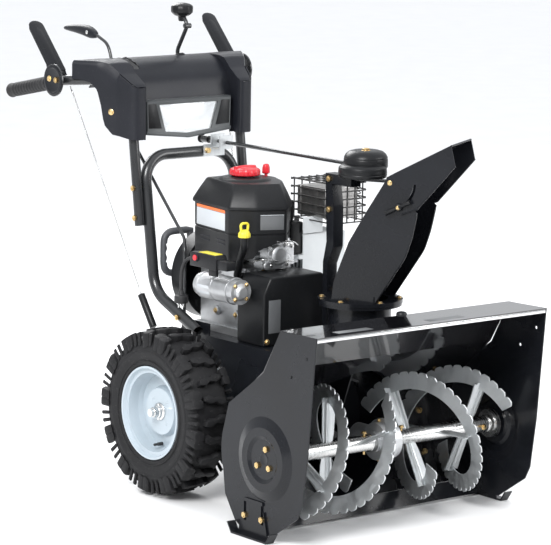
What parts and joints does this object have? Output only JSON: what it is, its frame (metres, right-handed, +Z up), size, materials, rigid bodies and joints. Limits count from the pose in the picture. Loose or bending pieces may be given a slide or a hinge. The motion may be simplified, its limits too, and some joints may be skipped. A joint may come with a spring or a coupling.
{
  "type": "two stage snowblower",
  "caption": "Walk-behind two stage snowblower with serrated ribbon augers, impeller, turning chute with tilting deflector, petrol engine, snow tyres and handlebar console.",
  "frame": {"origin": "on the ground under the middle of the wheel axle, which is also the middle of the footprint", "axes": "+Z up, +Y to the rear towards the operator, +X to the operator's left; the auger housing opens to -Y"},
  "size_m": [0.7402, 1.3345, 1.144],
  "materials": {
    "black_paint": "gloss black enamel on sheet steel",
    "tube_paint": "semi-gloss black powder coat on tube",
    "galvanised": "dull galvanised steel",
    "bright_steel": "bare bright steel",
    "zinc_gold": "yellow zinc plate",
    "tyre_rubber": "matt black rubber",
    "rim_paint": "pale silver paint",
    "black_plastic": "fine-grained black plastic",
    "bezel_plastic": "dark grey plastic",
    "lens_clear": "clear ribbed lens",
    "cast_aluminium": "as-cast aluminium",
    "shield_steel": "pale coated heat shield",
    "grip_rubber": "soft black rubber",
    "red_plastic": "gloss red plastic",
    "yellow_plastic": "gloss yellow plastic",
    "cord_rubber": "black rubber lead",
    "wire_black": "black painted wire",
    "belt_rubber": "belt rubber"
  },
  "bodies": {
    "frame": {"auger_housing": "black_paint", "side_plate_right": "black_paint", "side_plate_left": "black_paint", "scraper_bar": "black_paint", "skid_shoes": "black_paint", "impeller_drum": "black_paint", "auger_gear_case": "cast_aluminium", "tractor_frame": "black_paint", "bearings": "bright_steel", "belt_cover": "black_plastic", "belts": "belt_rubber", "crankcase": "cast_aluminium", "cylinder_head": "cast_aluminium", "engine_shroud": "black_plastic", "muffler": "bright_steel", "muffler_guard": "wire_black", "heat_shield": "shield_steel", "recoil_housing": "black_plastic", "oil_filler_tube": "black_plastic", "starter_motor": "cast_aluminium", "starter_switch_box": "black_plastic", "starter_cord": "cord_rubber", "starter_plug": "cord_rubber", "gear_bracket": "tube_paint", "chute_gear_cover": "black_plastic", "rod_bracket": "bright_steel", "lower_handle": "tube_paint", "upper_handles": "tube_paint", "grips": "grip_rubber", "console": "black_plastic", "headlight_bezel": "bezel_plastic", "headlight_lens": "lens_clear", "clutch_cables": "wire_black", "shift_rod": "tube_paint", "bolts": "zinc_gold"},
    "wheels": {"rims": "rim_paint", "tyres": "tyre_rubber", "axle_shaft": "bright_steel"},
    "cross_shaft": {"cross_shaft": "bright_steel"},
    "friction_wheel": {"friction_wheel": "grip_rubber"},
    "impeller": {"impeller": "black_paint"},
    "auger": {"auger_shaft": "bright_steel", "auger_right": "galvanised", "auger_left": "galvanised"},
    "crankshaft": {"crankshaft": "bright_steel"},
    "drive_disc": {"drive_disc": "bright_steel"},
    "chute": {"chute": "black_paint", "chute_strap": "black_paint"},
    "deflector": {"deflector": "black_paint"},
    "wing_knobs": {"wing_knobs": "black_plastic"},
    "chute_rod": {"chute_rod": "tube_paint"},
    "chute_crank": {"chute_crank": "tube_paint"},
    "auger_lever": {"auger_lever": "tube_paint"},
    "drive_lever": {"drive_lever": "tube_paint"},
    "speed_lever": {"speed_lever": "black_plastic"},
    "recoil_handle": {"recoil_handle": "grip_rubber"},
    "fuel_cap": {"fuel_cap": "red_plastic"},
    "choke_knob": {"choke_knob": "red_plastic"},
    "start_button": {"start_button": "red_plastic"},
    "dipstick": {"dipstick": "yellow_plastic"}
  },
  "joints": [
    {"name": "axle_turn", "type": "hinge", "parent": "frame", "child": "wheels", "pos_m": [0, 0, 0.203], "axis": [1, 0, 0], "continuous": true},
    {"name": "cross_shaft_turn", "type": "hinge", "parent": "frame", "child": "cross_shaft", "pos_m": [0, -0.019, 0.29], "axis": [1, 0, 0], "continuous": true},
    {"name": "friction_wheel_shift", "type": "slide", "parent": "cross_shaft", "child": "friction_wheel", "axis": [1, 0, 0], "range_m": [-0.1, 0]},
    {"name": "impeller_turn", "type": "hinge", "parent": "frame", "child": "impeller", "pos_m": [0, -0.3, 0.187], "axis": [0, 1, 0], "continuous": true},
    {"name": "auger_turn", "type": "hinge", "parent": "frame", "child": "auger", "pos_m": [0, -0.492, 0.187], "axis": [1, 0, 0], "continuous": true},
    {"name": "crankshaft_turn", "type": "hinge", "parent": "frame", "child": "crankshaft", "pos_m": [0, 0, 0.491], "axis": [0, 1, 0], "continuous": true},
    {"name": "drive_disc_turn", "type": "hinge", "parent": "frame", "child": "drive_disc", "pos_m": [0, -0.1, 0.29], "axis": [0, 1, 0], "continuous": true},
    {"name": "chute_turn", "type": "hinge", "parent": "frame", "child": "chute", "pos_m": [0.085, -0.3, 0.48], "axis": [0, 0, 1], "range_deg": [-125, 65]},
    {"name": "deflector_tilt", "type": "hinge", "parent": "chute", "child": "deflector", "pos_m": [0.1325, -0.38227, 0.779], "axis": [0.866, 0.5, 0], "range_deg": [0, 50]},
    {"name": "wing_knob_turn", "type": "hinge", "parent": "chute", "child": "wing_knobs", "pos_m": [0.1444, -0.40288, 0.7228], "axis": [0.866, 0.5, 0], "range_deg": [-180, 180]},
    {"name": "chute_rod_turn", "type": "hinge", "parent": "frame", "child": "chute_rod", "pos_m": [0.08, 0, 0.806], "axis": [0, 1, 0], "range_deg": [-420, 220]},
    {"name": "chute_crank_turn", "type": "hinge", "parent": "frame", "child": "chute_crank", "pos_m": [0.06, 0.41, 1.019], "axis": [-0.0858, 0.3577, 0.9299], "range_deg": [-420, 220]},
    {"name": "auger_lever_squeeze", "type": "hinge", "parent": "frame", "child": "auger_lever", "pos_m": [-0.27, 0.456, 0.965], "axis": [-1, 0, 0], "range_deg": [0, 54], "stiffness_Nm_per_rad": 1, "springref_deg": -40.11},
    {"name": "drive_lever_squeeze", "type": "hinge", "parent": "frame", "child": "drive_lever", "pos_m": [0.27, 0.456, 0.965], "axis": [-1, 0, 0], "range_deg": [0, 54], "stiffness_Nm_per_rad": 1, "springref_deg": -40.11},
    {"name": "speed_lever_shift", "type": "hinge", "parent": "frame", "child": "speed_lever", "pos_m": [-0.118, 0.424, 0.884], "axis": [1, 0, 0], "range_deg": [0, 40]},
    {"name": "recoil_pull", "type": "slide", "parent": "frame", "child": "recoil_handle", "axis": [0, 1, 0], "range_m": [0, 0.23], "stiffness_N_per_m": 20, "springref_m": -0.3},
    {"name": "fuel_cap_turn", "type": "hinge", "parent": "frame", "child": "fuel_cap", "pos_m": [-0.015, 0.025, 0.76], "axis": [0, 0, 1], "range_deg": [0, 90]},
    {"name": "choke_turn", "type": "hinge", "parent": "frame", "child": "choke_knob", "pos_m": [0.062, 0.04, 0.76], "axis": [0, 0, 1], "range_deg": [0, 90]},
    {"name": "start_button_push", "type": "slide", "parent": "frame", "child": "start_button", "axis": [1, 0, 0], "range_m": [0, 0.0025], "stiffness_N_per_m": 400, "springref_m": -0.001},
    {"name": "dipstick_turn", "type": "hinge", "parent": "frame", "child": "dipstick", "pos_m": [-0.13, -0.124, 0.64], "axis": [0, 0, 1], "range_deg": [0, 180]}
  ],
  "couplings": [
    {"joint": "cross_shaft_turn", "follows": "axle_turn", "ratio": -2.3308},
    {"joint": "friction_wheel_shift", "follows": "speed_lever_shift", "m_per_rad": -0.14},
    {"joint": "auger_turn", "follows": "impeller_turn", "ratio": 0.1},
    {"joint": "drive_disc_turn", "follows": "crankshaft_turn", "ratio": 0.44828},
    {"joint": "chute_rod_turn", "follows": "chute_turn", "ratio": 3.3},
    {"joint": "chute_crank_turn", "follows": "chute_turn", "ratio": 3.3}
  ]
}
